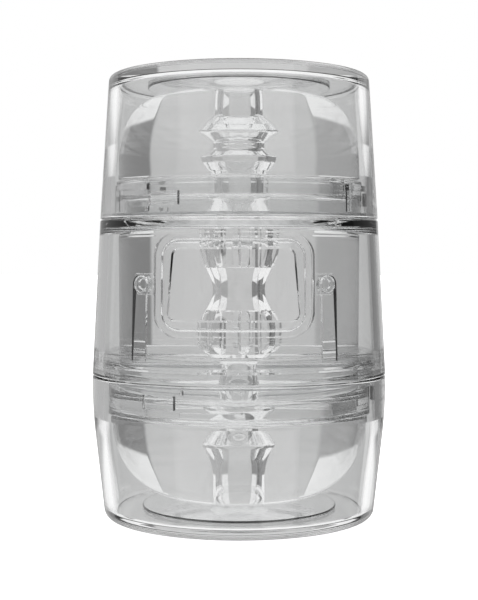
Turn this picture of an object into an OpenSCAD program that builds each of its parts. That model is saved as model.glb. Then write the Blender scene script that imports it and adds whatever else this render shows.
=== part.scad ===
// Clear two-cap case around a soft clear sleeve.
// Millimetres, +Z up. The origin is the middle of the base, and the window faces -Y.
// A tapered case shell ends in two necks. Each neck takes a bayonet cap, and the sleeve
// runs through both necks and swells into a dome beyond each.

/* [Outer form] */
// Height with both caps on
overall_h = 114; // [112:1:118]
// Radius of the bottom cap just above its rounded edge
base_r = 34.8; // [34.6:0.1:35.2]
// Widest radius, at the lower seam
belly_r = 38.1; // [38:0.1:39]
// Radius at the upper seam
shoulder_r = 36.1; // [36:0.1:36.6]
// Radius of the top cap just below its rounded edge
top_r = 33.8; // [33.7:0.1:34.2]
// Height of the seam between the bottom cap and the case shell
lower_seam_z = 36.6; // [36.4:0.1:36.8]
// Height of the seam between the case shell and the top cap
upper_seam_z = 76.8; // [76.6:0.1:77]

/* [Walls] */
// Side wall of each cap
cap_wall = 2.5; // [2.3:0.1:2.7]
// Flat end wall of each cap
end_wall = 2.4; // [2:0.1:2.6]
// Side wall of the case shell
shell_wall = 2.3; // [2.2:0.1:2.5]
// Radius of the rounded edge around the base
base_round = 2.4; // [1.5:0.1:2.6]
// Radius of the rounded edge around the top
top_round = 1.6; // [1:0.1:2.2]

/* [Necks] */
// How far each neck reaches past its seam
neck_len = 9.1; // [9:0.1:9.4]
// Thickness of the flange that closes each neck around the sleeve
flange_t = 4.1; // [3.8:0.1:4.3]
// Radius of the port that the sleeve passes through
port_r = 24.5; // [24:0.1:25]

/* [Bayonet] */
// Angle that each lug covers
lug_deg = 14; // [10:1:16]
// Angle that a cap turns to lock
turn_deg = 25; // [20:1:36]

/* [Window] */
// Height of the window's middle
window_z = 60.4; // [59:0.1:62]
// Width of the window frame
frame_w = 37.2; // [34:0.2:38]
// Height of the window frame
frame_h = 24.8; // [23:0.2:25]
// Height of the opening in the frame
opening_h = 16.8; // [15:0.2:17]
// Width of the opening along its top edge
opening_top_w = 28.4; // [26:0.2:30]
// Width of the opening along its bottom edge
opening_bottom_w = 31.4; // [28:0.2:31.6]

/* [Sleeve] */
// Radius of the sleeve's middle
sleeve_r = 31.4; // [31:0.1:31.5]
// Radius of the sleeve's bottom dome
bottom_dome_r = 33.2; // [32:0.1:33.4]
// Radius of the sleeve's top dome
top_dome_r = 31.4; // [31:0.1:31.6]
// Gap between each dome's end and the base or the top
dome_gap = 5.4; // [5:0.1:6]

/* [Hidden] */
$fn = 96;

clear_plastic = [0.86, 0.87, 0.88, 0.4];
clear_gel = [0.90, 0.90, 0.90, 0.5];
clear_silicone = [0.80, 0.81, 0.82, 0.6];

// Clearances
seam_gap = 0.2;      // between a cap's mouth and the shell
same_body = 0.2;     // between pieces that don't move against each other
running = 0.05;      // radial, between a seal and its neck
bore_gap = 0.1;      // radial, between a seal and its cap

// Outer surface, as height and radius, straight between the knots
band_z = lower_seam_z - neck_len;
outline = [
    [0, base_r], [base_round, base_r], [band_z, belly_r - 0.1], [lower_seam_z, belly_r],
    [upper_seam_z, shoulder_r], [overall_h - top_round, top_r], [overall_h, top_r]
];
band_blend = 110;    // radius that blends the flared base into the upright band
function body_r(z) = lookup(z, outline);

// Necks, lower and upper. Each mouth is the cap's bore around its neck.
lower_mouth_r = belly_r - cap_wall - 0.3;
upper_mouth_r = shoulder_r - cap_wall - 0.3;
mouth_to_neck = 1.4;
lower_neck_r = lower_mouth_r - mouth_to_neck;
upper_neck_r = upper_mouth_r - mouth_to_neck;
neck_wall = 2.2;
lower_neck_in = lower_neck_r - neck_wall;
upper_neck_in = upper_neck_r - neck_wall;
lower_tip_z = lower_seam_z - neck_len;
upper_tip_z = upper_seam_z + neck_len;
lower_stop_z = lower_seam_z + seam_gap;   // bottom edge of the shell
upper_stop_z = upper_seam_z - seam_gap;   // shoulder of the shell
mouth_depth = neck_len + 1.2;

// Lock ring, which snaps into the shell from below
ring_r = lower_mouth_r - 0.1;
ring_top_z = 43;
bead_z = 39.9;
bead_h = 1.2;
bead_out = 0.45;

// Bayonet: lugs inside each cap pass between ribs on the neck, then turn under them
lug_angles = [240, 0, 120];
lug_reach = 1.1;
lug_h = 3.4;
lug_start = 2.6;     // from the cap's mouth to the lug
rib_reach = 0.9;
rib_h = 1.5;
rib_play = 0.4;      // between a locked lug and its rib
rib_lead_deg = 2;
stop_deg = 1.8;
key_deg = 1.2;       // short rib beside each lug, on the seam side

// Seals
seal_h = 1;

// Frame studs and the grooves that lead them up to the window
stud_turn = 39;      // each side of the front
stud_head_r = 2.1;
stud_shank_r = 1.25;
groove_r = 2.2;
groove_floor_r = body_r(window_z) - 1.2;
shell_in_r = body_r(window_z) - shell_wall;
frame_in_r = shell_in_r - 1.5;
ear_in_r = frame_in_r + 0.15;
ear_out_r = shell_in_r - 0.35;
ear_h = 5.2;
frame_land_r = body_r(window_z) - 1.6;

// Sleeve
dome_bottom_z = dome_gap;
dome_top_z = overall_h - dome_gap;
bottom_dome_flat_r = 15.5;
bottom_dome_side_z = 26;
top_dome_flat_r = 20;
top_dome_side_z = 92;
waist_r = port_r - 0.3;
core_bottom_z = lower_tip_z + flange_t + same_body;
core_top_z = upper_tip_z - flange_t - same_body;
core_neck_r = upper_neck_in - 0.3;

// Radius of the channel's two wide chambers
chamber_r = 6.2;
// Channel through the sleeve, as height and radius at each widest or narrowest place
channel = [
    [5.4, 7.4], [7.0, 5.4], [14.0, 5.1], [16.4, 4.3], [20.6, 6.8], [23.8, 3.5], [25.6, 3.6],
    [29.0, 6.8], [37.8, 3.2], [43.0, chamber_r], [53.3, chamber_r], [58.6, 4.6],
    [64.8, chamber_r], [76.5, chamber_r], [84.0, 4.5], [92.5, 7.1], [95.2, 4.9], [97.3, 7.6],
    [99.4, 4.5], [106.6, 4.6], [108.6, 6.4]
];

// ---- Shared shapes ----

function unit(v) = v / norm(v);

function reversed(points) = [for (i = [len(points) - 1 : -1 : 0]) points[i]];

function turned(v, a) = [v.x * cos(a) - v.y * sin(a), v.x * sin(a) + v.y * cos(a)];

// Points that round corner b of the path a, b, c by its radius b.z
function corner_points(a, b, c, steps = 5) =
    let (at = [b.x, b.y])
    b.z <= 0 ? [at] :
    let (
        u = unit([a.x, a.y] - at),
        v = unit([c.x, c.y] - at),
        half = acos(u * v) / 2,
        centre = at + unit(u + v) * b.z / sin(half),
        start = at + u * b.z / tan(half) - centre,
        end = at + v * b.z / tan(half) - centre,
        sweep = (180 - 2 * half) * sign(cross(start, end))
    )
    [for (i = [0 : steps]) centre + turned(start, sweep * i / steps)];

// A closed outline of [x, y, corner radius] with its corners rounded
function rounded(path) = [
    for (i = [0 : len(path) - 1])
        each corner_points(path[(i + len(path) - 1) % len(path)], path[i], path[(i + 1) % len(path)])
];

// A path of [height, radius] knots, smoothed so that each knot is a peak, a valley or a bend
function swelling(knots, steps = 4) = [
    for (i = [0 : len(knots) - 2])
        for (s = [0 : steps - 1])
            let (t = s / steps, w = (1 - cos(180 * t)) / 2, a = knots[i], b = knots[i + 1])
            [a[1] + (b[1] - a[1]) * w, a[0] + (b[0] - a[0]) * t],
    [knots[len(knots) - 1][1], knots[len(knots) - 1][0]]
];

// A quarter ellipse of points from [r0, z0] to [r1, z1]; it leaves flat and arrives upright
function dome_curve(r0, z0, r1, z1, steps = 9) = [
    for (i = [0 : steps])
        [r0 + (r1 - r0) * sin(90 * i / steps), z1 + (z0 - z1) * cos(90 * i / steps)]
];

module turned_body(points) {
    rotate_extrude()
        polygon(points);
}

// A block that follows the wall, between two radii, two heights and two angles
module wall_block(r0, r1, z0, z1, a0, a1) {
    rotate([0, 0, a0])
        rotate_extrude(angle = a1 - a0)
            translate([r0, z0])
                square([r1 - r0, z1 - z0]);
}

// A flat outline of x and height, pushed through the front of the shell
module front_prism(points) {
    rotate([90, 0, 0])
        linear_extrude(height = belly_r + 2)
            polygon(points);
}

// An upright rounded rectangle centred on the window
function window_outline(w, h, r) = rounded([
    [-w / 2, window_z - h / 2, r], [w / 2, window_z - h / 2, r],
    [w / 2, window_z + h / 2, r], [-w / 2, window_z + h / 2, r]
]);

opening_outline = rounded([
    [-opening_bottom_w / 2, window_z - opening_h / 2, 1.6],
    [opening_bottom_w / 2, window_z - opening_h / 2, 1.6],
    [opening_top_w / 2, window_z + opening_h / 2, 1.6],
    [-opening_top_w / 2, window_z + opening_h / 2, 1.6]
]);

// The ribs of one neck: for each lug a ledge, a stop at the ledge's far end, and a short key
// beside the lug. The sign of way is the way that the cap turns to lock.
module bayonet_ribs(neck_r, ledge_z, root_z, key_z, way) {
    near = lug_deg / 2 + rib_lead_deg;
    far = lug_deg / 2 + turn_deg + 1;
    middle_z = ledge_z + rib_h / 2;
    for (a = lug_angles) {
        neck_rib(neck_r, rib_reach, [ledge_z, ledge_z + rib_h], a, way * near, way * (far + stop_deg));
        neck_rib(neck_r, rib_reach - 0.05, [min(middle_z, root_z), max(middle_z, root_z)],
                 a, way * far, way * (far + stop_deg - 0.2));
        neck_rib(neck_r, rib_reach - 0.1, key_z, a, way * near, way * (near + key_deg));
    }
}

module neck_rib(neck_r, reach, z, a, turn_0, turn_1) {
    wall_block(neck_r - 0.4, neck_r + reach, z[0], z[1],
               a + min(turn_0, turn_1), a + max(turn_0, turn_1));
}

module cap_lugs(mouth_r, z0) {
    for (a = lug_angles)
        wall_block(mouth_r - lug_reach, mouth_r + 0.6, z0, z0 + lug_h, a - lug_deg / 2, a + lug_deg / 2);
}

// A cylinder across the wall at an angle from the front, between two radii
module across_wall(turn, r, from_r, to_r) {
    rotate([0, 0, 270 + turn])
        translate([from_r, 0, window_z])
            rotate([0, 90, 0])
                cylinder(r = r, h = to_r - from_r);
}

// ---- Sub-parts ----

upper_lug_z = upper_seam_z + lug_start;
upper_ledge_z = upper_lug_z + lug_h + rib_play;
lower_lug_z = lower_seam_z - lug_start - lug_h;
lower_ledge_z = lower_lug_z - rib_play - rib_h;
upper_root_z = upper_seam_z + seal_h + 0.2;   // where the ribs start, clear of the seals
lower_root_z = lower_seam_z - seal_h - 0.2;

module groove(turn) {
    rotate([0, 0, 270 + turn])
        translate([0, -groove_r, ring_top_z - 1])
            cube([groove_floor_r, 2 * groove_r, window_z - ring_top_z + 1]);
    across_wall(turn, groove_r, 10, groove_floor_r);
}

module case_shell() {
    shell_top_in = body_r(73.8) - shell_wall;
    color(clear_plastic) {
        difference() {
            turned_body(rounded([
                [body_r(lower_stop_z), lower_stop_z, 0.4],
                [body_r(upper_stop_z), upper_stop_z, 0.5],
                [upper_neck_r, upper_stop_z, 0],
                [upper_neck_r, upper_tip_z, 0.5],
                [port_r, upper_tip_z, 0.8],
                [port_r, upper_tip_z - flange_t, 0.5],
                [upper_neck_in, upper_tip_z - flange_t, 0.8],
                [upper_neck_in, 76, 0.6],
                [shell_top_in, 73.8, 2],
                [ring_r + 0.1, ring_top_z + 0.4, 0],
                [ring_r + 0.1, lower_stop_z, 0]
            ]));
            front_prism(window_outline(frame_w + 0.4, frame_h + 0.4, 6));
            for (turn = [-stud_turn, stud_turn])
                groove(turn);
            wall_block(ring_r - 1, ring_r + bead_out + 0.1, bead_z - bead_h / 2 - 0.1,
                       bead_z + bead_h / 2 + 0.1, 0, 360);
        }
        bayonet_ribs(upper_neck_r, upper_ledge_z, upper_root_z,
                     [upper_root_z, upper_lug_z - rib_play / 2], -1);
    }
}

module lower_lock_ring() {
    color(clear_plastic) {
        turned_body(rounded([
            [port_r, lower_tip_z, 0.8],
            [lower_neck_r, lower_tip_z, 0.5],
            [lower_neck_r, lower_seam_z + 0.1, 0],
            [ring_r, lower_seam_z + 0.1, 0.3],
            [ring_r, bead_z - bead_h / 2, 0],
            [ring_r + bead_out, bead_z, 0.2],
            [ring_r, bead_z + bead_h / 2, 0],
            [ring_r, ring_top_z, 0.5],
            [lower_neck_in, ring_top_z, 0.5],
            [lower_neck_in, lower_tip_z + flange_t, 2.5],
            [port_r, lower_tip_z + flange_t, 0.5]
        ]));
        bayonet_ribs(lower_neck_r, lower_ledge_z, lower_root_z,
                     [lower_lug_z + lug_h + rib_play / 2, lower_root_z], 1);
    }
}

module window_frame() {
    color(clear_plastic)
        difference() {
            union() {
                intersection() {
                    front_prism(window_outline(frame_w, frame_h, 5.8));
                    turned_body([
                        [frame_in_r, window_z - frame_h], [body_r(window_z - frame_h) - 0.05, window_z - frame_h],
                        [body_r(window_z + frame_h) - 0.05, window_z + frame_h], [frame_in_r, window_z + frame_h]
                    ]);
                }
                for (side = [-1, 1])
                    wall_block(ear_in_r, ear_out_r, window_z - ear_h / 2, window_z + ear_h / 2,
                               270 + (side < 0 ? -stud_turn - 4 : 27), 270 + (side < 0 ? -27 : stud_turn + 4));
            }
            front_prism(opening_outline);
            intersection() {
                front_prism(window_outline(frame_w - 3, frame_h - 3, 4.4));
                turned_body([
                    [frame_land_r, 40], [belly_r + 1, 40], [belly_r + 1, 80], [frame_land_r, 80]
                ]);
            }
            for (side = [-1, 1])
                across_wall(side * stud_turn, stud_shank_r + running, ear_in_r - 2, ear_out_r + 1);
        }
}

module frame_stud(side) {
    color(clear_plastic) {
        across_wall(side * stud_turn, stud_shank_r, ear_in_r - 0.9, ear_out_r + 0.2);
        across_wall(side * stud_turn, stud_head_r, ear_out_r + 0.15, groove_floor_r - 0.15);
        across_wall(side * stud_turn, stud_head_r - 0.3, ear_in_r - 1, ear_in_r - 0.12);
    }
}

module sleeve() {
    rim = 0.5;
    color(clear_gel)
        turned_body(concat(
            // bottom dome, from its flat end out to its rim
            dome_curve(bottom_dome_flat_r, dome_bottom_z, bottom_dome_r, bottom_dome_side_z),
            rounded([
                [bottom_dome_r, bottom_dome_side_z, 0],
                [bottom_dome_r, lower_tip_z - 0.3, rim],
                [waist_r, lower_tip_z - 0.3, 0],
                [waist_r, core_bottom_z, 0],
                [sleeve_r - 0.2, core_bottom_z, 3.6],
                // middle
                [sleeve_r - 0.2, core_bottom_z + 6, 0],
                [sleeve_r, 72.6, 1],
                [core_neck_r, 75, 1],
                [core_neck_r, core_top_z, 1.4],
                [waist_r, core_top_z, 0],
                // top dome, from its waist to its rim
                [waist_r, upper_tip_z + 0.3, 0],
                [top_dome_r, upper_tip_z + 0.3, rim],
                [top_dome_r, top_dome_side_z, 0]
            ]),
            reversed(dome_curve(top_dome_flat_r, dome_top_z, top_dome_r, top_dome_side_z)),
            // channel, from the top mouth down
            reversed(swelling(channel))
        ));
}

module seal(neck_r, mouth_r, z0) {
    color(clear_silicone)
        turned_body(rounded([
            [neck_r + running, z0, 0.25], [mouth_r - bore_gap, z0, 0.25],
            [mouth_r - bore_gap, z0 + seal_h, 0.25], [neck_r + running, z0 + seal_h, 0.25]
        ]));
}

module top_seal() {
    seal(upper_neck_r, upper_mouth_r, upper_stop_z + 0.1);
}

module bottom_seal() {
    seal(lower_neck_r, lower_mouth_r, lower_seam_z - seal_h);
}

module top_cap() {
    mouth_end = upper_seam_z + mouth_depth;
    ceiling = overall_h - end_wall;
    color(clear_plastic) {
        turned_body(concat(
            rounded([
                [0, overall_h, 0],
                [0, ceiling, 0],
                [body_r(ceiling) - cap_wall, ceiling, 1.8],
                [upper_mouth_r - 0.7, mouth_end + 8, 0],
                [upper_mouth_r, mouth_end, 1],
                [upper_mouth_r, upper_seam_z, 0.3],
                [body_r(upper_seam_z), upper_seam_z, 0.4],
                [top_r, overall_h, top_round]
            ])
        ));
        cap_lugs(upper_mouth_r, upper_lug_z);
    }
}

module bottom_cap() {
    mouth_end = lower_seam_z - mouth_depth;
    color(clear_plastic) {
        turned_body(rounded([
            [0, 0, 0],
            [base_r, 0, base_round],
            [body_r(band_z), band_z, band_blend],
            [body_r(lower_seam_z - seam_gap), lower_seam_z - seam_gap / 2, 0.4],
            [lower_mouth_r, lower_seam_z - seam_gap / 2, 0.3],
            [lower_mouth_r, mouth_end, 1],
            [body_r(end_wall) - cap_wall, end_wall, 1.2],
            [0, end_wall, 0]
        ]));
        cap_lugs(lower_mouth_r, lower_lug_z);
    }
}

disc_r = 25.2;
disc_t = 0.8;

module top_cap_disc() {
    color(clear_plastic)
        translate([0, 0, overall_h - end_wall - disc_t - 0.05])
            cylinder(r = disc_r - 1.4, h = disc_t);
}

module bottom_cap_disc() {
    color(clear_plastic)
        translate([0, 0, end_wall + 0.05])
            cylinder(r = disc_r, h = disc_t);
}

case_shell();
lower_lock_ring();
window_frame();
frame_stud(-1);  // left_frame_stud
frame_stud(1);  // right_frame_stud
sleeve();
top_seal();
top_cap();
top_cap_disc();
bottom_seal();
bottom_cap();
bottom_cap_disc();
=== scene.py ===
"""Looks of a clear, double-ended sleeve case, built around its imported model.

Lengths are in metres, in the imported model's frame: Z is up along the case's axis, and the
finger window faces -Y.
"""

import math

import bmesh
import bpy
from bpy.props import FloatProperty, FloatVectorProperty, IntProperty, PointerProperty
from mathutils import Matrix, Vector


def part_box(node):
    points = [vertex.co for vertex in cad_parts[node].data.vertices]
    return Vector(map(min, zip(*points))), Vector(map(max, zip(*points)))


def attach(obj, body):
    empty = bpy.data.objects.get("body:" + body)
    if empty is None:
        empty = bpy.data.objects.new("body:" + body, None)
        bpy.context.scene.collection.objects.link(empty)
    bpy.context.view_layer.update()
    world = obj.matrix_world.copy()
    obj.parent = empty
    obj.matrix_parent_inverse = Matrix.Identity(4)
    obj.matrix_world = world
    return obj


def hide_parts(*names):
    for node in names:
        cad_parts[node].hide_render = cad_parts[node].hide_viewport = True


bl_info = {
    "name": "Double-ended Sleeve Case",
    "version": (1, 0, 0),
    "blender": (4, 5, 0),
    "location": "3D View > Sidebar > Sleeve Case",
    "description": "Builds a clear two-cap case around a soft clear sleeve",
    "category": "Object",
}

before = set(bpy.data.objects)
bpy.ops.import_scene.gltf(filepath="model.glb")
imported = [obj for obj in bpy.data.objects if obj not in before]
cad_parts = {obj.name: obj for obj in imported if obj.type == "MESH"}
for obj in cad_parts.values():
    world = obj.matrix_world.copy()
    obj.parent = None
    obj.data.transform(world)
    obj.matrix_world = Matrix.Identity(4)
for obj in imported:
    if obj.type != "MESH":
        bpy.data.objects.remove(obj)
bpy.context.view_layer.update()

MM = 0.001
AROUND = 192  # points round each turned piece
ARC_STEPS = 10  # points along each rounded corner
SMOOTH_DEG = 32  # edges sharper than this stay crisp


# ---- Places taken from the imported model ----


class Span:
    """A turned node's lowest and highest point and its largest radius."""

    def __init__(self, node):
        low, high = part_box(node)
        self.low, self.high, self.radius = low.z, high.z, high.x


TOP_CAP = Span("top_cap")
BOTTOM_CAP = Span("bottom_cap")
SHELL = Span("case_shell")
RING = Span("lower_lock_ring")
SLEEVE = Span("sleeve")
WINDOW_LOW, WINDOW_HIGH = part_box("window_frame")
WINDOW_Z = (WINDOW_LOW.z + WINDOW_HIGH.z) / 2

LOWER_SEAM = BOTTOM_CAP.high + 0.1 * MM
UPPER_SEAM = TOP_CAP.low
BAND_Z = RING.low
LUG_ANGLES = (240, 0, 120)
RUNNING_GAP = 0.05 * MM
STUD_TURN = 39  # degrees each side of the window


class CaseSizes(bpy.types.PropertyGroup):
    """Sizes of the hard clear parts"""

    cap_wall: FloatProperty(
        name="Cap wall", description="Side wall of each cap", default=2.5 * MM, unit="LENGTH"
    )
    end_wall: FloatProperty(
        name="End wall", description="Flat end of each cap", default=2.4 * MM, unit="LENGTH"
    )
    shell_wall: FloatProperty(
        name="Shell wall", description="Side wall of the case shell", default=2.3 * MM, unit="LENGTH"
    )
    base_radius: FloatProperty(
        name="Base radius", description="Bottom cap above its rounded edge",
        default=34.8 * MM, unit="LENGTH",
    )
    top_radius: FloatProperty(
        name="Top radius", description="Top cap below its rounded edge",
        default=33.8 * MM, unit="LENGTH",
    )
    base_round: FloatProperty(
        name="Base edge", description="Radius of the base's rounded edge",
        default=2.4 * MM, unit="LENGTH",
    )
    top_round: FloatProperty(
        name="Top edge", description="Radius of the top's rounded edge",
        default=1.6 * MM, unit="LENGTH",
    )
    lug_deg: FloatProperty(name="Lug", description="Angle that a lug covers, in degrees", default=14)
    turn_deg: FloatProperty(name="Turn", description="Angle that a cap turns, in degrees", default=25)


class SleeveSizes(bpy.types.PropertyGroup):
    """Sizes of the soft sleeve and its channel"""

    middle_radius: FloatProperty(
        name="Middle", description="Radius between the ports", default=31.4 * MM, unit="LENGTH"
    )
    top_dome_radius: FloatProperty(
        name="Top dome", description="Radius of the top dome", default=31.4 * MM, unit="LENGTH"
    )
    waist_radius: FloatProperty(
        name="Waist", description="Radius through each port", default=24.2 * MM, unit="LENGTH"
    )
    land_radius: FloatProperty(
        name="Land", description="Channel radius between its flutes", default=6.15 * MM, unit="LENGTH"
    )
    flute_count: IntProperty(name="Flutes", description="Flutes round each chamber", default=8)
    flute_deg: FloatProperty(name="Flute", description="Angle that a flute covers", default=17)


class Finish(bpy.types.PropertyGroup):
    """Tints and clarity of the materials"""

    plastic_tint: FloatVectorProperty(
        name="Plastic", description="Tint of the hard clear plastic", subtype="COLOR",
        default=(0.965, 0.968, 0.968), min=0, max=1,
    )
    gel_tint: FloatVectorProperty(
        name="Gel", description="Tint of the soft clear sleeve", subtype="COLOR",
        default=(0.955, 0.955, 0.955), min=0, max=1,
    )
    seal_tint: FloatVectorProperty(
        name="Seal", description="Tint of the silicone seals", subtype="COLOR",
        default=(0.86, 0.865, 0.87), min=0, max=1,
    )
    plastic_ior: FloatProperty(name="Plastic index", description="Index of refraction", default=1.49)
    gel_ior: FloatProperty(name="Gel index", description="Index of refraction", default=1.40)


class Studio(bpy.types.PropertyGroup):
    """The studio's walls: angles in degrees from the middle of a card, and brightnesses"""

    card_half: FloatProperty(name="Card half width", description="Of the front and back cards", default=21)
    card_reach: FloatProperty(name="Card reach", description="Above and below the horizon", default=30)
    gap_end: FloatProperty(name="Gap end", description="Where the bright gap ends", default=50)
    gap_low: FloatProperty(name="Gap low", description="Where the gap is bright below", default=-11)
    gap_high: FloatProperty(name="Gap high", description="Where the gap is bright above", default=8)
    side_start: FloatProperty(name="Side start", description="Where the dark sides start", default=70)
    card: FloatProperty(name="Card", description="Brightness of the two cards", default=0.62)
    left_gap: FloatProperty(name="Left gap", description="Brightness beside the cards", default=0.46)
    right_gap: FloatProperty(name="Right gap", description="Brightness beside the cards", default=0.22)
    left_side: FloatProperty(name="Left side", description="Brightness of the left", default=0.42)
    right_side: FloatProperty(name="Right side", description="Brightness of the right", default=0.12)


# ---- Outlines ----


def corner_arc(before, at, after, radius, steps):
    """Points of the arc that rounds the corner at a point between its two neighbours."""
    back = (Vector(before[:2]) - at).normalized()
    ahead = (Vector(after[:2]) - at).normalized()
    half = math.acos(max(-1.0, min(1.0, back.dot(ahead)))) / 2
    centre = at + (back + ahead).normalized() * radius / math.sin(half)
    start = at + back * radius / math.tan(half) - centre
    end = at + ahead * radius / math.tan(half) - centre
    turn = math.copysign(math.pi - 2 * half, start.x * end.y - start.y * end.x)
    points = []
    for step in range(steps + 1):
        a = turn * step / steps
        points.append(centre + Vector((
            start.x * math.cos(a) - start.y * math.sin(a),
            start.x * math.sin(a) + start.y * math.cos(a),
        )))
    return points


def rounded_path(knots, closed=True, steps=ARC_STEPS, support=0.3 * MM):
    """Points of a path of (x, y, corner radius) knots, each corner rounded by its radius.

    Long straight runs get a point near each end, so that they shade flat.
    """
    count = len(knots)
    points = []
    for i, (x, y, radius) in enumerate(knots):
        at = Vector((x, y))
        if radius <= 0 or (not closed and i in (0, count - 1)):
            points.append(at)
        else:
            points += corner_arc(knots[i - 1], at, knots[(i + 1) % count], radius, steps)
    return supported(points, closed, support)


def supported(points, closed, support):
    """The same points, with one more near each end of every long straight run."""
    result = []
    pairs = len(points) if closed else len(points) - 1
    for i in range(pairs):
        a, b = points[i], points[(i + 1) % len(points)]
        result.append(a)
        length = (b - a).length
        if length > 4 * support:
            result.append(a.lerp(b, support / length))
            result.append(a.lerp(b, 1 - support / length))
    if not closed:
        result.append(points[-1])
    return result


def quarter_curve(r0, z0, r1, z1, steps=28):
    """A quarter ellipse from (r0, z0) to (r1, z1) that leaves level and arrives upright."""
    for step in range(steps + 1):
        a = math.pi / 2 * step / steps
        yield Vector((r0 + (r1 - r0) * math.sin(a), z1 + (z0 - z1) * math.cos(a)))


def cap_radius(z, sizes):
    """Outer radius of the bottom or the top cap at a height, before its rounding."""
    if z < BAND_Z:
        return lerp(sizes.base_radius, BOTTOM_CAP.radius - 0.1 * MM, sizes.base_round, BAND_Z, z)
    if z < UPPER_SEAM:
        return shell_radius(z)
    return lerp(TOP_CAP.radius, sizes.top_radius, UPPER_SEAM, TOP_CAP.high - sizes.top_round, z)


def shell_radius(z):
    """Outer radius of the case shell at a height."""
    return lerp(BOTTOM_CAP.radius, TOP_CAP.radius, LOWER_SEAM, UPPER_SEAM, z)


def lerp(a, b, low, high, at):
    """The value between a and b, as at lies between low and high."""
    return a + (b - a) * (at - low) / (high - low)


# ---- Meshes ----


def turned(name, path, closed=True, radius_at=None, around=AROUND):
    """A mesh object made by turning (radius, height) points about Z.

    An open path starts and ends on the axis. radius_at(r, z, angle) may reshape the round.
    """
    bm = bmesh.new()
    rings = []
    for r, z in path:
        if r < 1e-7:
            rings.append([bm.verts.new((0, 0, z))])
            continue
        ring = []
        for i in range(around):
            a = math.tau * i / around
            rr = radius_at(r, z, a) if radius_at else r
            ring.append(bm.verts.new((rr * math.cos(a), rr * math.sin(a), z)))
        rings.append(ring)
    for i in range(len(rings) if closed else len(rings) - 1):
        low, high = rings[i], rings[(i + 1) % len(rings)]
        for j in range(around):
            k = (j + 1) % around
            if len(low) == 1:
                bm.faces.new((low[0], high[k], high[j]))
            elif len(high) == 1:
                bm.faces.new((low[j], low[k], high[0]))
            else:
                bm.faces.new((low[j], low[k], high[k], high[j]))
    return finished(name, bm)


def finished(name, bm):
    """A new object that holds the mesh, with its faces turned outward and smooth."""
    bmesh.ops.recalc_face_normals(bm, faces=bm.faces)
    mesh = bpy.data.meshes.new(name)
    bm.to_mesh(mesh)
    bm.free()
    smooth(mesh)
    piece = bpy.data.objects.new(name, mesh)
    bpy.context.scene.collection.objects.link(piece)
    return piece


def smooth(mesh):
    """Shades a mesh smooth, with its sharp edges kept."""
    mesh.shade_smooth()
    mesh.set_sharp_from_angle(angle=math.radians(SMOOTH_DEG))


def prism(name, outline, place, depth):
    """A solid whose outline of 2D points is set by place(point, depth) at its two depths."""
    bm = bmesh.new()
    ends = [[bm.verts.new(place(p, d)) for p in outline] for d in depth]
    bm.faces.new(ends[0])
    bm.faces.new(ends[1])
    for i in range(len(outline)):
        j = (i + 1) % len(outline)
        bm.faces.new((ends[0][i], ends[0][j], ends[1][j], ends[1][i]))
    return finished(name, bm)


def wall_block(name, r0, r1, z0, z1, a0, a1, edge=0.12 * MM):
    """A block that follows the wall between two radii, heights and angles, with eased edges."""
    bm = bmesh.new()
    steps = max(2, math.ceil(abs(a1 - a0) / 2))
    columns = []
    for i in range(steps + 1):
        a = math.radians(a0 + (a1 - a0) * i / steps)
        columns.append([
            bm.verts.new((r * math.cos(a), r * math.sin(a), z))
            for r, z in ((r0, z0), (r1, z0), (r1, z1), (r0, z1))
        ])
    for before, after in zip(columns, columns[1:]):
        for j in range(4):
            k = (j + 1) % 4
            bm.faces.new((before[j], before[k], after[k], after[j]))
    bm.faces.new(columns[0])
    bm.faces.new(columns[-1])
    bmesh.ops.recalc_face_normals(bm, faces=bm.faces)
    if edge:
        crisp = [e for e in bm.edges if e.calc_face_angle(0) > math.radians(40)]
        bmesh.ops.bevel(bm, geom=crisp, offset=edge, segments=3, profile=0.5, affect="EDGES")
    return finished(name, bm)


def combine(piece, others, operation):
    """Joins the other solids to the piece or cuts them from it, and removes them."""
    for other in others:
        cut = piece.modifiers.new("combine", "BOOLEAN")
        cut.operation = operation
        cut.solver = "MANIFOLD"
        cut.object = other
    graph = bpy.context.evaluated_depsgraph_get()
    mesh = bpy.data.meshes.new_from_object(piece.evaluated_get(graph))
    piece.modifiers.clear()
    old, piece.data = piece.data, mesh
    bpy.data.meshes.remove(old)
    for other in others:
        bpy.data.meshes.remove(other.data)
    smooth(mesh)


def settle(piece, body, nodes, material):
    """Gives a finished piece its material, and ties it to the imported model."""
    piece.data.materials.clear()
    piece.data.materials.append(material)
    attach(piece, body)
    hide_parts(*nodes)


# ---- Materials ----


class Value:
    """A shader socket that can be used in Python arithmetic."""

    def __init__(self, graph, socket):
        self.graph, self.socket = graph, socket

    def __add__(self, other):
        return self.graph.maths("ADD", self, other)

    def __radd__(self, other):
        return self.graph.maths("ADD", other, self)

    def __sub__(self, other):
        return self.graph.maths("SUBTRACT", self, other)

    def __rsub__(self, other):
        return self.graph.maths("SUBTRACT", other, self)

    def __mul__(self, other):
        return self.graph.maths("MULTIPLY", self, other)

    def __rmul__(self, other):
        return self.graph.maths("MULTIPLY", other, self)


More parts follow.
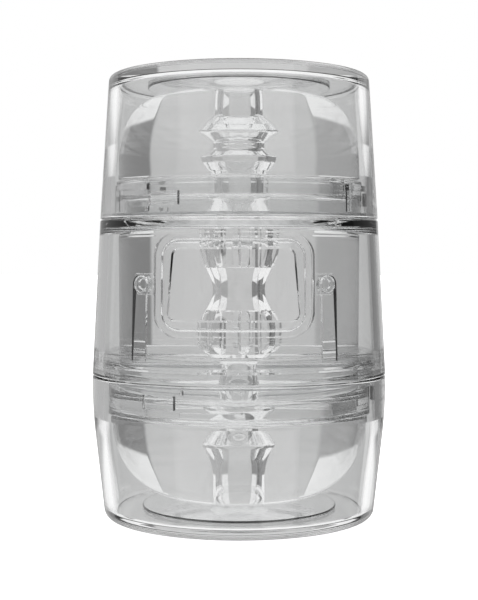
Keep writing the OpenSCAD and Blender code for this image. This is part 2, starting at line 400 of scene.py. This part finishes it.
class Nodes:
    """A node tree that nodes are added to."""

    def __init__(self, tree):
        self.tree = tree

    def add(self, kind, settings=None, sockets=None, output=0):
        """Adds a node, sets its settings and then its sockets, and returns one output."""
        node = self.tree.nodes.new(kind)
        for key, value in (settings or {}).items():
            if key == "stops":
                self.set_stops(node.color_ramp, value)
            else:
                setattr(node, key, value)
        for key, value in (sockets or {}).items():
            self.feed(node.inputs[key], value)
        return Value(self, node.outputs[output])

    def set_stops(self, ramp, stops):
        """Gives a new ramp its (position, grey) stops."""
        while len(ramp.elements) < len(stops):
            ramp.elements.new(0.5)
        for element, (position, grey) in zip(ramp.elements, stops):
            element.position = position
            element.color = (grey, grey, grey, 1)

    def feed(self, socket, value):
        """Links a value to a socket, or sets the socket to a number or a colour."""
        if isinstance(value, Value):
            self.tree.links.new(value.socket, socket)
        else:
            socket.default_value = value

    def maths(self, operation, a, b=None):
        sockets = {0: a} if b is None else {0: a, 1: b}
        return self.add("ShaderNodeMath", {"operation": operation}, sockets)

    def smooth(self, at, low, high):
        """0 up to low, 1 from high on, and a smooth curve between them."""
        return self.add(
            "ShaderNodeMapRange", {"interpolation_type": "SMOOTHSTEP"},
            {"Value": at, "From Min": low, "From Max": high},
        )


class Graph(Nodes):
    """The node tree of a new material with one Principled shader."""

    def __init__(self, name):
        self.material = bpy.data.materials.new(name)
        self.material.use_nodes = True
        super().__init__(self.material.node_tree)
        self.shader = self.tree.nodes["Principled BSDF"]

    def place(self):
        """Object coordinates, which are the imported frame's own."""
        return self.add("ShaderNodeTexCoord", output="Object")

    def noise(self, scale, stretch=(1, 1, 1), detail=2.0):
        """Soft noise with features about 1 / scale metres wide, stretched along the axes."""
        spread = self.add("ShaderNodeMapping", None, {"Vector": self.place(), "Scale": stretch})
        return self.add("ShaderNodeTexNoise", None, {"Vector": spread, "Scale": scale, "Detail": detail})

    def bump(self, height, strength, distance):
        """A normal from a height."""
        return self.add(
            "ShaderNodeBump", None, {"Height": height, "Strength": strength, "Distance": distance}
        )


def tinted(graph, mask, tint, shade):
    """The tint where mask is 0, and the tint times shade where it is 1."""
    deep = tuple(c * shade for c in tint)
    return graph.add(
        "ShaderNodeMix", {"data_type": "RGBA"},
        {"Factor": mask, "A": (*tint, 1), "B": (*deep, 1)}, output="Result",
    )


def polished_plastic(finish):
    """Hard clear plastic: polished, with slow moulding waves and a few fine rubs."""
    graph = Graph("polished_plastic")
    shader = graph.shader
    flow = graph.noise(26, stretch=(1, 1, 0.25))
    rubs = graph.noise(900, stretch=(1, 1, 0.08), detail=3.0)
    worn = graph.add("ShaderNodeValToRGB", {"stops": [(0.60, 0), (0.74, 1)]}, {"Fac": rubs})
    graph.feed(shader.inputs["Base Color"], tinted(graph, flow, tuple(finish.plastic_tint), 0.985))
    graph.feed(shader.inputs["Roughness"], 0.004 + 0.02 * worn)
    graph.feed(shader.inputs["Normal"], graph.bump(flow, 0.03, 0.3 * MM))
    shader.inputs["Transmission Weight"].default_value = 1.0
    shader.inputs["IOR"].default_value = finish.plastic_ior
    return graph.material


def sleeve_gel(finish):
    """Soft clear gel: a little duller than the plastic, with a faint skin ripple."""
    graph = Graph("sleeve_gel")
    shader = graph.shader
    ripple = graph.noise(120, detail=2.0)
    cloud = graph.noise(30)
    graph.feed(shader.inputs["Base Color"], tinted(graph, cloud, tuple(finish.gel_tint), 0.97))
    graph.feed(shader.inputs["Roughness"], 0.008 + 0.02 * ripple)
    graph.feed(shader.inputs["Normal"], graph.bump(ripple, 0.04, 0.2 * MM))
    shader.inputs["Transmission Weight"].default_value = 1.0
    shader.inputs["IOR"].default_value = finish.gel_ior
    return graph.material


def seal_silicone(finish):
    """Milky clear silicone with a satin skin."""
    graph = Graph("seal_silicone")
    shader = graph.shader
    grain = graph.noise(700, detail=4.0)
    graph.feed(shader.inputs["Base Color"], tinted(graph, grain, tuple(finish.seal_tint), 0.95))
    graph.feed(shader.inputs["Roughness"], 0.12 + 0.12 * grain)
    graph.feed(shader.inputs["Normal"], graph.bump(grain, 0.08, 0.05 * MM))
    shader.inputs["Transmission Weight"].default_value = 0.9
    shader.inputs["IOR"].default_value = 1.41
    return graph.material


def material(maker, finish):
    """The named material, made once."""
    return bpy.data.materials.get(maker.__name__) or maker(finish)


# ---- Caps ----


def cap_lugs(mouth_radius, low, sizes):
    """Three lugs inside a cap's mouth."""
    half = sizes.lug_deg / 2
    return [
        wall_block("lug", mouth_radius - LUG_REACH, mouth_radius + 0.6 * MM, low, low + LUG_HEIGHT,
                   a - half, a + half)
        for a in LUG_ANGLES
    ]


LUG_REACH = 1.1 * MM
LUG_HEIGHT = 3.4 * MM
LUG_START = 2.6 * MM  # from the cap's mouth to its lugs
NECK_LENGTH = LOWER_SEAM - RING.low
MOUTH_DEPTH = NECK_LENGTH + 1.2 * MM
MOUTH_STEP = 0.3 * MM  # extra wall at the mouth


def lower_mouth(sizes):
    return BOTTOM_CAP.radius - sizes.cap_wall - MOUTH_STEP


def upper_mouth(sizes):
    return TOP_CAP.radius - sizes.cap_wall - MOUTH_STEP


def top_cap_path(sizes):
    high, low = TOP_CAP.high, TOP_CAP.low
    ceiling = high - sizes.end_wall
    mouth, mouth_end = upper_mouth(sizes), low + MOUTH_DEPTH
    return rounded_path([
        (0, high, 0),
        (sizes.top_radius, high, sizes.top_round),
        (TOP_CAP.radius, low, 0.4 * MM),
        (mouth, low, 0.3 * MM),
        (mouth, mouth_end, 1 * MM),
        (mouth - 0.7 * MM, mouth_end + 8 * MM, 0),
        (cap_radius(ceiling, sizes) - sizes.cap_wall, ceiling, 1.8 * MM),
        (0, ceiling, 0),
    ], closed=False)


def bottom_cap_path(sizes):
    high, floor = BOTTOM_CAP.high, sizes.end_wall
    mouth, mouth_end = lower_mouth(sizes), LOWER_SEAM - MOUTH_DEPTH
    return rounded_path([
        (0, 0, 0),
        (sizes.base_radius, 0, sizes.base_round),
        (BOTTOM_CAP.radius - 0.1 * MM, BAND_Z, 110 * MM),
        (BOTTOM_CAP.radius, high, 0.4 * MM),
        (mouth, high, 0.3 * MM),
        (mouth, mouth_end, 1 * MM),
        (cap_radius(floor, sizes) - sizes.cap_wall, floor, 1.2 * MM),
        (0, floor, 0),
    ], closed=False)


class CASE_OT_caps(bpy.types.Operator):
    """Turn both caps, with the lugs that lock them"""

    bl_idname = "case.caps"
    bl_label = "Caps"

    def execute(self, context):
        sizes, finish = context.scene.case_sizes, context.scene.case_finish
        for name, path, mouth, lug_low in (
            ("top_cap", top_cap_path(sizes), upper_mouth(sizes), UPPER_SEAM + LUG_START),
            ("bottom_cap", bottom_cap_path(sizes), lower_mouth(sizes),
             LOWER_SEAM - LUG_START - LUG_HEIGHT),
        ):
            cap = turned("clear_" + name, path, closed=False)
            combine(cap, cap_lugs(mouth, lug_low, sizes), "UNION")
            settle(cap, name, [name], material(polished_plastic, finish))
        return {"FINISHED"}


class CASE_OT_end_discs(bpy.types.Operator):
    """Turn the thin disc inside each cap's flat end"""

    bl_idname = "case.end_discs"
    bl_label = "End Discs"

    def execute(self, context):
        finish = context.scene.case_finish
        for body in ("top_cap", "bottom_cap"):
            span = Span(body + "_disc")
            edge = 0.25 * MM
            disc = turned("clear_" + body + "_disc", rounded_path([
                (0, span.low, 0), (span.radius, span.low, edge),
                (span.radius, span.high, edge), (0, span.high, 0),
            ], closed=False), closed=False)
            settle(disc, body, [body + "_disc"], material(polished_plastic, finish))
        return {"FINISHED"}


# ---- Shell, lock ring and seals ----

NECK_WALL = 2.2 * MM
MOUTH_TO_NECK = 1.4 * MM
FLANGE = 4.1 * MM
RIB_REACH = 0.9 * MM
RIB_HEIGHT = 1.5 * MM
RIB_PLAY = 0.4 * MM
RIB_LEAD_DEG = 2
STOP_DEG = 1.8
KEY_DEG = 1.2
PORT = 24.5 * MM
SEAL_HEIGHT = 1 * MM
GROOVE_RADIUS = 2.2 * MM
GROOVE_DEPTH = 1.2 * MM
BEAD_Z = 39.9 * MM
BEAD_HEIGHT = 1.2 * MM
BEAD_PLAY = 0.1 * MM
CEILING_Z = 73.8 * MM  # where the shell's wall meets its ceiling
NECK_ROOT_Z = 76 * MM  # where the ceiling meets the upper neck


def bayonet_ribs(neck, ledge, root, key, way, sizes):
    """A ledge, a stop and a short key for each lug. way is the way that a cap turns to lock."""
    near = sizes.lug_deg / 2 + RIB_LEAD_DEG
    far = sizes.lug_deg / 2 + sizes.turn_deg + 1
    middle = ledge + RIB_HEIGHT / 2
    ribs = []
    for a in LUG_ANGLES:
        for reach, low, high, turn_0, turn_1 in (
            (RIB_REACH, ledge, ledge + RIB_HEIGHT, near, far + STOP_DEG),
            (RIB_REACH - 0.05 * MM, min(middle, root), max(middle, root), far, far + STOP_DEG - 0.2),
            (RIB_REACH - 0.1 * MM, *key, near, near + KEY_DEG),
        ):
            a0, a1 = sorted((a + way * turn_0, a + way * turn_1))
            ribs.append(wall_block("rib", neck - 0.4 * MM, neck + reach, low, high, a0, a1))
    return ribs


def wall_place(turn):
    """A place function for prisms that point out through the wall, turned from the front."""
    spin = Matrix.Rotation(math.radians(turn), 3, "Z")

    def place(point, depth):
        return spin @ Vector((point[0], -depth, point[1]))

    return place


def groove_cutter(turn):
    """An upright slot with a round top, cut into the shell from inside."""
    low = RING.high - 1 * MM
    steps = 24
    outline = [(GROOVE_RADIUS, low), (-GROOVE_RADIUS, low)]
    for step in range(steps + 1):
        a = math.pi - math.pi * step / steps
        outline.append((GROOVE_RADIUS * math.cos(a), WINDOW_Z + GROOVE_RADIUS * math.sin(a)))
    floor = shell_radius(WINDOW_Z) - GROOVE_DEPTH
    return prism("groove", outline, wall_place(turn), (20 * MM, floor))


def window_corners(width, height, radius):
    """Corners of an upright rectangle round the window's middle, with the radius of each."""
    w, h = width / 2, height / 2
    return [
        (-w, WINDOW_Z - h, radius), (w, WINDOW_Z - h, radius),
        (w, WINDOW_Z + h, radius), (-w, WINDOW_Z + h, radius),
    ]


class CASE_OT_shell(bpy.types.Operator):
    """Turn the case shell, and cut its window and grooves"""

    bl_idname = "case.shell"
    bl_label = "Case Shell"

    def execute(self, context):
        sizes, finish = context.scene.case_sizes, context.scene.case_finish
        neck = upper_mouth(sizes) - MOUTH_TO_NECK
        neck_in = neck - NECK_WALL
        seat = RING.radius - 0.35 * MM
        top = SHELL.high
        shoulder = UPPER_SEAM - 0.2 * MM
        shell = turned("clear_case_shell", rounded_path([
            (shell_radius(SHELL.low), SHELL.low, 0.4 * MM),
            (shell_radius(shoulder), shoulder, 0.5 * MM),
            (neck, shoulder, 0.15 * MM),
            (neck, top, 0.5 * MM),
            (PORT, top, 0.8 * MM),
            (PORT, top - FLANGE, 0.5 * MM),
            (neck_in, top - FLANGE, 0.8 * MM),
            (neck_in, NECK_ROOT_Z, 0.6 * MM),
            (shell_radius(CEILING_Z) - sizes.shell_wall, CEILING_Z, 2 * MM),
            (seat, RING.high + 0.4 * MM, 0.1 * MM),
            (seat, SHELL.low, 0.15 * MM),
        ]))
        opening = prism(
            "opening",
            rounded_path(window_corners(
                WINDOW_WIDTH + 2 * WINDOW_GAP, WINDOW_HEIGHT + 2 * WINDOW_GAP, 6 * MM
            ), steps=12),
            wall_place(0), (15 * MM, 45 * MM),
        )
        half, inside, groove = BEAD_HEIGHT / 2 + BEAD_PLAY, seat - 1 * MM, seat + 0.45 * MM
        bead = turned("bead", [
            Vector(p) for p in (
                (inside, BEAD_Z - half), (groove, BEAD_Z - half),
                (groove, BEAD_Z + half), (inside, BEAD_Z + half),
            )
        ])
        cutters = [opening, bead, groove_cutter(-STUD_TURN), groove_cutter(STUD_TURN)]
        combine(shell, cutters, "DIFFERENCE")
        lug_low = UPPER_SEAM + LUG_START
        root = UPPER_SEAM + SEAL_HEIGHT + 0.2 * MM
        combine(shell, bayonet_ribs(
            neck, lug_low + LUG_HEIGHT + RIB_PLAY, root, (root, lug_low - RIB_PLAY / 2), -1, sizes
        ), "UNION")
        settle(shell, "case", ["case_shell"], material(polished_plastic, finish))
        return {"FINISHED"}


class CASE_OT_lock_ring(bpy.types.Operator):
    """Turn the ring that snaps into the shell and carries the lower neck"""

    bl_idname = "case.lock_ring"
    bl_label = "Lower Lock Ring"

    def execute(self, context):
        sizes, finish = context.scene.case_sizes, context.scene.case_finish
        neck = lower_mouth(sizes) - MOUTH_TO_NECK
        neck_in = neck - NECK_WALL
        seat = RING.radius - 0.45 * MM
        ring = turned("clear_lock_ring", rounded_path([
            (PORT, RING.low, 0.8 * MM),
            (neck, RING.low, 0.5 * MM),
            (neck, LOWER_SEAM + 0.1 * MM, 0.15 * MM),
            (seat, LOWER_SEAM + 0.1 * MM, 0.3 * MM),
            (seat, BEAD_Z - BEAD_HEIGHT / 2, 0.1 * MM),
            (RING.radius, BEAD_Z, 0.2 * MM),
            (seat, BEAD_Z + BEAD_HEIGHT / 2, 0.1 * MM),
            (seat, RING.high, 0.5 * MM),
            (neck_in, RING.high, 0.5 * MM),
            (neck_in, RING.low + FLANGE, 2.5 * MM),
            (PORT, RING.low + FLANGE, 0.5 * MM),
        ]))
        lug_low = LOWER_SEAM - LUG_START - LUG_HEIGHT
        root = LOWER_SEAM - SEAL_HEIGHT - 0.2 * MM
        key = (lug_low + LUG_HEIGHT + RIB_PLAY / 2, root)
        combine(ring, bayonet_ribs(neck, lug_low - RIB_PLAY - RIB_HEIGHT, root, key, 1, sizes), "UNION")
        settle(ring, "case", ["lower_lock_ring"], material(polished_plastic, finish))
        return {"FINISHED"}


class CASE_OT_seals(bpy.types.Operator):
    """Turn the flat silicone seal at each neck's root"""

    bl_idname = "case.seals"
    bl_label = "Seals"

    def execute(self, context):
        sizes, finish = context.scene.case_sizes, context.scene.case_finish
        for body, mouth in (("top_seal", upper_mouth(sizes)), ("bottom_seal", lower_mouth(sizes))):
            span = Span(body)
            inner = mouth - MOUTH_TO_NECK + RUNNING_GAP
            edge = 0.25 * MM
            seal = turned("soft_" + body, rounded_path([
                (inner, span.low, edge), (span.radius, span.low, edge),
                (span.radius, span.high, edge), (inner, span.high, edge),
            ], steps=5))
            settle(seal, body, [body], material(seal_silicone, finish))
        return {"FINISHED"}


# ---- Window frame ----

WINDOW_WIDTH = 37.2 * MM
WINDOW_GAP = 0.2 * MM  # between the frame and the shell
WINDOW_HEIGHT = WINDOW_HIGH.z - WINDOW_LOW.z
OPENING_HEIGHT = 16.8 * MM
OPENING_TOP = 28.4 * MM
OPENING_BOTTOM = 31.4 * MM
BORDER = 1.5 * MM
FRAME_BACK = 3.8 * MM  # from the shell's outside to the frame's back
FRAME_LAND = 1.6 * MM
EAR_OUT = 2.65 * MM
EAR_IN = FRAME_BACK - 0.15 * MM
EAR_HEIGHT = 5.2 * MM


def even_outline(corners, corner_steps=10, side_steps=26):
    """Points of a rounded four-sided outline, with the same count on every side and corner."""
    arcs = [
        corner_arc(corners[i - 1], Vector((x, z)), corners[(i + 1) % 4], radius, corner_steps)
        for i, (x, z, radius) in enumerate(corners)
    ]
    points = []
    for i, arc in enumerate(arcs):
        ahead = arcs[(i + 1) % 4][0]
        points += arc
        points += [arc[-1].lerp(ahead, step / side_steps) for step in range(1, side_steps)]
    return points


def frame_outlines():
    """The frame's outer edge, the inner edge of its border, and its opening."""
    outer = window_corners(WINDOW_WIDTH, WINDOW_HEIGHT, 5.8 * MM)
    border = window_corners(WINDOW_WIDTH - 2 * BORDER, WINDOW_HEIGHT - 2 * BORDER, 4.4 * MM)
    h, corner = OPENING_HEIGHT / 2, 1.6 * MM
    opening = [
        (-OPENING_BOTTOM / 2, WINDOW_Z - h, corner), (OPENING_BOTTOM / 2, WINDOW_Z - h, corner),
        (OPENING_TOP / 2, WINDOW_Z + h, corner), (-OPENING_TOP / 2, WINDOW_Z + h, corner),
    ]
    return even_outline(outer), even_outline(border), even_outline(opening)


def window_frame_mesh():
    """The bevelled frame, bent to the shell: rings of points from its outer to its inner edge."""
    outer, border, opening = frame_outlines()
    bevel_width = 2.6 * MM
    section = rounded_path([
        (0, FRAME_BACK, 0.3 * MM),
        (0, 0.05 * MM, 0.3 * MM),
        (BORDER, 0.05 * MM, 0.2 * MM),
        (BORDER + 0.35 * MM, FRAME_LAND - 0.3 * MM, 0.2 * MM),
        (BORDER + bevel_width - 0.45 * MM, FRAME_LAND, 0),
        (BORDER + bevel_width, FRAME_LAND + 0.65 * MM, 0),
        (BORDER + bevel_width, FRAME_BACK, 0.1 * MM),
    ], steps=4)
    bm = bmesh.new()
    rings = []
    for across, depth in section:
        ring = []
        for a, b, c in zip(outer, border, opening):
            if across < BORDER:
                p = a.lerp(b, across / BORDER)
            else:
                p = b.lerp(c, (across - BORDER) / bevel_width)
            r = shell_radius(p.y) - depth
            ring.append(bm.verts.new((p.x, -math.sqrt(r * r - p.x * p.x), p.y)))
        rings.append(ring)
    for i, ring in enumerate(rings):
        ahead = rings[(i + 1) % len(rings)]
        for j in range(len(ring)):
            k = (j + 1) % len(ring)
            bm.faces.new((ring[j], ring[k], ahead[k], ahead[j]))
    return finished("clear_window_frame", bm)


class CASE_OT_window_frame(bpy.types.Operator):
    """Bend the bevelled window frame to the shell, with its two side arms"""

    bl_idname = "case.window_frame"
    bl_label = "Window Frame"

    def execute(self, context):
        finish = context.scene.case_finish
        frame_piece = window_frame_mesh()
        wall = shell_radius(WINDOW_Z)
        low, high = WINDOW_Z - EAR_HEIGHT / 2, WINDOW_Z + EAR_HEIGHT / 2
        arms = []
        for side in (-1, 1):
            a0, a1 = sorted((270 + side * 27, 270 + side * (STUD_TURN + 4)))
            arms.append(wall_block("arm", wall - EAR_IN, wall - EAR_OUT, low, high, a0, a1,
                                   edge=0.2 * MM))
        combine(frame_piece, arms, "UNION")
        bore = STUD_SHANK + RUNNING_GAP
        bores = [
            prism("bore", ring_outline(bore), wall_place(side * STUD_TURN),
                  (wall - EAR_IN - 2 * MM, wall - EAR_OUT + 1 * MM))
            for side in (-1, 1)
        ]
        combine(frame_piece, bores, "DIFFERENCE")
        settle(frame_piece, "case", ["window_frame"], material(polished_plastic, finish))
        return {"FINISHED"}


STUD_HEAD = 2.1 * MM
STUD_SHANK = 1.25 * MM


def ring_outline(radius, steps=32):
    """A circle of points round the window's mid height."""
    return [
        (radius * math.cos(math.tau * i / steps), WINDOW_Z + radius * math.sin(math.tau * i / steps))
        for i in range(steps)
    ]


class CASE_OT_frame_studs(bpy.types.Operator):
    """Turn the stud that holds each arm of the window frame"""

    bl_idname = "case.frame_studs"
    bl_label = "Frame Studs"

    def execute(self, context):
        finish = context.scene.case_finish
        wall = shell_radius(WINDOW_Z)
        head_low, head_high = wall - EAR_OUT + 0.15 * MM, wall - GROOVE_DEPTH - 0.15 * MM
        foot_low, foot_high = wall - EAR_IN - 1 * MM, wall - EAR_IN - 0.12 * MM
        foot = STUD_HEAD - 0.3 * MM
        for side, name in ((-1, "left_frame_stud"), (1, "right_frame_stud")):
            stud = turned("clear_" + name, rounded_path([
                (0, foot_low, 0), (foot, foot_low, 0.25 * MM), (foot, foot_high, 0.2 * MM),
                (STUD_SHANK, foot_high, 0), (STUD_SHANK, head_low, 0),
                (STUD_HEAD, head_low, 0.2 * MM), (STUD_HEAD, head_high, 0.3 * MM), (0, head_high, 0),
            ], closed=False, steps=6), closed=False, around=48)
            upright = Matrix.Rotation(math.radians(90), 4, "X")
            spin = Matrix.Rotation(math.radians(side * STUD_TURN), 4, "Z")
            stud.data.transform(Matrix.Translation((0, 0, WINDOW_Z)) @ spin @ upright)
            settle(stud, "case", [name], material(polished_plastic, finish))
        return {"FINISHED"}


# ---- Sleeve ----

# Heights and radii of the channel's bends, with the radius that rounds each, in millimetres
CHANNEL = (
    (5.4, 7.6, 0.6), (7.2, 5.4, 1), (14.2, 5.1, 4), (16.4, 4.2, 5), (20.6, 7.0, 0.5),
    (23.8, 3.6, 0.8), (25.6, 3.8, 0.8), (29.0, 6.9, 0.6), (31.6, 5.0, 4), (34.4, 3.8, 5),
    (37.9, 3.1, 1.5), (39.6, 3.5, 1), (42.4, 6.2, 2), (44.2, 7.8, 3), (47.4, 8.2, 12),
    (52.2, 7.0, 8), (58.6, 4.3, 9), (64.6, 6.5, 8), (70.7, 8.0, 14), (77.2, 6.4, 8),
    (81.0, 4.6, 5), (86.4, 4.7, 4), (89.2, 5.8, 1), (91.2, 7.0, 0.8), (92.7, 7.3, 0.4),
    (94.4, 4.86, 0.8), (95.6, 4.86, 0.6), (97.2, 7.8, 0.3), (98.4, 6.4, 1),
    (99.6, 4.5, 1), (106.8, 4.6, 3), (108.6, 6.6, 0.6),
)
OUTSIDE_CHANNEL = 9 * MM  # every radius past this is on the sleeve's outside
BOTTOM_FLAT = 15.5 * MM  # radius of the bottom dome's flat end
BOTTOM_SIDE_Z = 26 * MM  # height where the bottom dome turns upright
TOP_FLAT = 20 * MM
TOP_SIDE_Z = 92 * MM
SIDE_RUN = 0.2 * MM  # first upright step past each dome's curve
CHAMBERS = ((42.6, 53.4), (64.4, 77.0))  # heights that the flutes run between, in millimetres
FLUTE_TURN = 12  # degrees from the front to the first flute


def smooth_step(at, low, high):
    """0 below low and 1 above high, with an eased rise between them."""
    t = max(0.0, min(1.0, (at - low) / (high - low)))
    return t * t * (3 - 2 * t)


def fluted(sizes):
    """A radius function that fills the chambers to their land, apart from round-ended flutes."""
    pitch = math.tau / sizes.flute_count
    land = sizes.land_radius
    half = math.radians(sizes.flute_deg) / 2 * land
    phase = math.radians(FLUTE_TURN - 90)

    def radius_at(r, z, angle):
        if r > OUTSIDE_CHANNEL or r <= land:
            return r
        for low, high in CHAMBERS:
            if low * MM < z < high * MM:
                across = ((angle - phase + pitch / 2) % pitch - pitch / 2) * land
                beyond = max(0.0, z - high * MM + half, low * MM + half - z)
                wall = math.hypot(across, beyond) - half
                return land + (r - land) * smooth_step(-wall, -0.12 * MM, 0.12 * MM)
        return r

    return radius_at


class CASE_OT_sleeve(bpy.types.Operator):
    """Turn the soft sleeve, with its domes, waists and fluted channel"""

    bl_idname = "case.sleeve"
    bl_label = "Sleeve"

    def execute(self, context):
        sizes, finish = context.scene.case_sleeve, context.scene.case_finish
        rim = 0.5 * MM
        waist, middle = sizes.waist_radius, sizes.middle_radius
        low_rim, high_rim = RING.low - 0.3 * MM, SHELL.high + 0.3 * MM
        core_low, core_high = RING.low + FLANGE + 0.2 * MM, SHELL.high - FLANGE - 0.2 * MM
        neck = upper_mouth(context.scene.case_sizes) - MOUTH_TO_NECK - NECK_WALL - 0.3 * MM
        dome = sizes.top_dome_radius
        outside = list(quarter_curve(BOTTOM_FLAT, SLEEVE.low, SLEEVE.radius, BOTTOM_SIDE_Z))
        outside += rounded_path([
            (SLEEVE.radius, BOTTOM_SIDE_Z + SIDE_RUN, 0),
            (SLEEVE.radius, low_rim, rim),
            (waist, low_rim, 0.3 * MM),
            (waist, core_low, 0.3 * MM),
            (middle - 0.2 * MM, core_low, 3.6 * MM),
            (middle - 0.2 * MM, core_low + 6 * MM, 20 * MM),
            (middle, 72.6 * MM, 1 * MM),
            (neck, 75 * MM, 1 * MM),
            (neck, core_high, 1.4 * MM),
            (waist, core_high, 0.3 * MM),
            (waist, high_rim, 0.3 * MM),
            (dome, high_rim, rim),
            (dome, TOP_SIDE_Z - SIDE_RUN, 0),
        ], closed=False)
        outside += reversed(list(quarter_curve(TOP_FLAT, SLEEVE.high, dome, TOP_SIDE_Z)))
        channel = rounded_path([(r * MM, z * MM, bend * MM) for z, r, bend in CHANNEL], closed=False)
        sleeve = turned(
            "soft_sleeve", outside + dense(reversed(channel), 0.35 * MM), radius_at=fluted(sizes)
        )
        settle(sleeve, "case", ["sleeve"], material(sleeve_gel, finish))
        return {"FINISHED"}


def dense(points, spacing):
    """The same path with no step longer than the spacing."""
    points = list(points)
    result = []
    for a, b in zip(points, points[1:]):
        count = max(1, math.ceil((b - a).length / spacing))
        result += [a.lerp(b, i / count) for i in range(count)]
    return result + [points[-1]]


# ---- Stage ----

CAMERA_DISTANCE = 335 * MM
CAMERA_HEIGHT = 65.8 * MM
CAMERA_TURN = 2.4  # degrees from straight on
LENS_MM = 76.8
SENSOR_MM = 36
SHIFT_UP = -0.0635
BOUNCES = 32  # enough for light to cross every clear wall
FLOOR_REACH = 6  # metres from the middle to each edge
FLOOR_DROP = 0.02 * MM  # keeps the floor clear of the base
DEGREES = 180 / math.pi
QUARTER_DEG = 90
EDGE_DEG = 2  # width of each soft edge between two tones


class CASE_OT_stage(bpy.types.Operator):
    """Set the studio's walls, the floor and the camera"""

    bl_idname = "case.stage"
    bl_label = "Stage"

    def execute(self, context):
        self.walls(context.scene)
        self.floor()
        self.camera()
        context.scene.view_settings.view_transform = "Standard"
        cycles = context.scene.cycles
        cycles.max_bounces = BOUNCES
        cycles.transmission_bounces = BOUNCES
        cycles.glossy_bounces = 8
        return {"FINISHED"}

    def walls(self, scene):
        """A grey card at the front and back, bright gaps beside them, and darker sides.

        The camera itself sees plain white, and only the case sees the walls.
        """
        studio = scene.case_studio
        scene.world = bpy.data.worlds.new("studio_walls")
        scene.world.use_nodes = True
        graph = Nodes(scene.world.node_tree)
        toward = graph.add("ShaderNodeTexCoord", output="Generated")
        x, y, z = (
            graph.add("ShaderNodeSeparateXYZ", None, {"Vector": toward}, output=axis) for axis in "XYZ"
        )
        turn = graph.maths("ARCTAN2", x, y) * DEGREES
        rise = graph.maths("ARCSINE", z) * DEGREES
        folded = graph.maths("FLOORED_MODULO", turn + QUARTER_DEG, 2 * QUARTER_DEG)
        aside = graph.maths("ABSOLUTE", folded - QUARTER_DEG)
        right = graph.maths("GREATER_THAN", turn, 0)
        past_card = graph.smooth(aside, studio.card_half, studio.card_half + EDGE_DEG)
        past_gap = graph.smooth(aside, studio.gap_end, studio.gap_end + EDGE_DEG)
        in_gap = past_card * (1 - past_gap)
        near_side = studio.left_gap + right * (studio.right_gap - studio.left_gap)
        far_side = studio.left_side + right * (studio.right_side - studio.left_side)
        at_side = graph.smooth(aside, studio.side_start, studio.side_start + EDGE_DEG)
        level = studio.card + past_card * (near_side - studio.card)
        level = level + at_side * (far_side - level)
        top = studio.card_reach + in_gap * (studio.gap_high - studio.card_reach)
        bottom = in_gap * (studio.gap_low + studio.card_reach) - studio.card_reach
        above = graph.smooth(rise, top, top + EDGE_DEG)
        below = 1 - graph.smooth(rise, bottom - EDGE_DEG, bottom)
        for lit in (above, below, graph.add("ShaderNodeLightPath", output="Is Camera Ray")):
            level = level + lit * (1 - level)
        background = graph.tree.nodes["Background"]
        graph.feed(background.inputs["Strength"], level)
        graph.feed(background.inputs["Color"], (1, 1, 1, 1))

    def floor(self):
        bm = bmesh.new()
        bmesh.ops.create_grid(bm, x_segments=1, y_segments=1, size=FLOOR_REACH)
        floor = finished("pale_floor", bm)
        floor.location.z = -FLOOR_DROP
        graph = Graph("pale_floor")
        shader = graph.shader
        shader.inputs["Base Color"].default_value = (0.9, 0.9, 0.9, 1)
        shader.inputs["Roughness"].default_value = 0.9
        shader.inputs["Emission Color"].default_value = (1, 1, 1, 1)
        shader.inputs["Emission Strength"].default_value = 1.0
        floor.data.materials.append(graph.material)
        floor.visible_transmission = False
        floor.visible_glossy = False

    def camera(self):
        data = bpy.data.cameras.new("camera")
        data.lens = LENS_MM
        data.sensor_width = SENSOR_MM
        data.shift_y = SHIFT_UP
        data.clip_start = 0.01
        data.clip_end = 50
        camera = bpy.data.objects.new("camera", data)
        turn = math.radians(CAMERA_TURN)
        camera.location = (
            CAMERA_DISTANCE * math.sin(turn), -CAMERA_DISTANCE * math.cos(turn), CAMERA_HEIGHT
        )
        camera.rotation_euler = (math.radians(90), 0, turn)
        bpy.context.scene.collection.objects.link(camera)
        bpy.context.scene.camera = camera


class CASE_PT_sidebar(bpy.types.Panel):
    """Lists the pieces that can be built"""

    bl_idname = "CASE_PT_sidebar"
    bl_label = "Sleeve Case"
    bl_space_type = "VIEW_3D"
    bl_region_type = "UI"
    bl_category = "Sleeve Case"

    def draw(self, context):
        for operator in OPERATORS:
            self.layout.operator(operator.bl_idname)


GROUPS = {
    "case_sizes": CaseSizes,
    "case_sleeve": SleeveSizes,
    "case_finish": Finish,
    "case_studio": Studio,
}
OPERATORS = (
    CASE_OT_stage, CASE_OT_caps, CASE_OT_end_discs, CASE_OT_shell, CASE_OT_lock_ring,
    CASE_OT_seals, CASE_OT_window_frame, CASE_OT_frame_studs, CASE_OT_sleeve,
)


def register():
    for kind in (*GROUPS.values(), *OPERATORS, CASE_PT_sidebar):
        bpy.utils.register_class(kind)
    for name, group in GROUPS.items():
        setattr(bpy.types.Scene, name, PointerProperty(type=group))


def unregister():
    for name in GROUPS:
        delattr(bpy.types.Scene, name)
    for kind in reversed((*GROUPS.values(), *OPERATORS, CASE_PT_sidebar)):
        bpy.utils.unregister_class(kind)


def main():
    register()
    for operator in OPERATORS:
        group, name = operator.bl_idname.split(".")
        getattr(getattr(bpy.ops, group), name)()


if __name__ == "__main__":
    main()
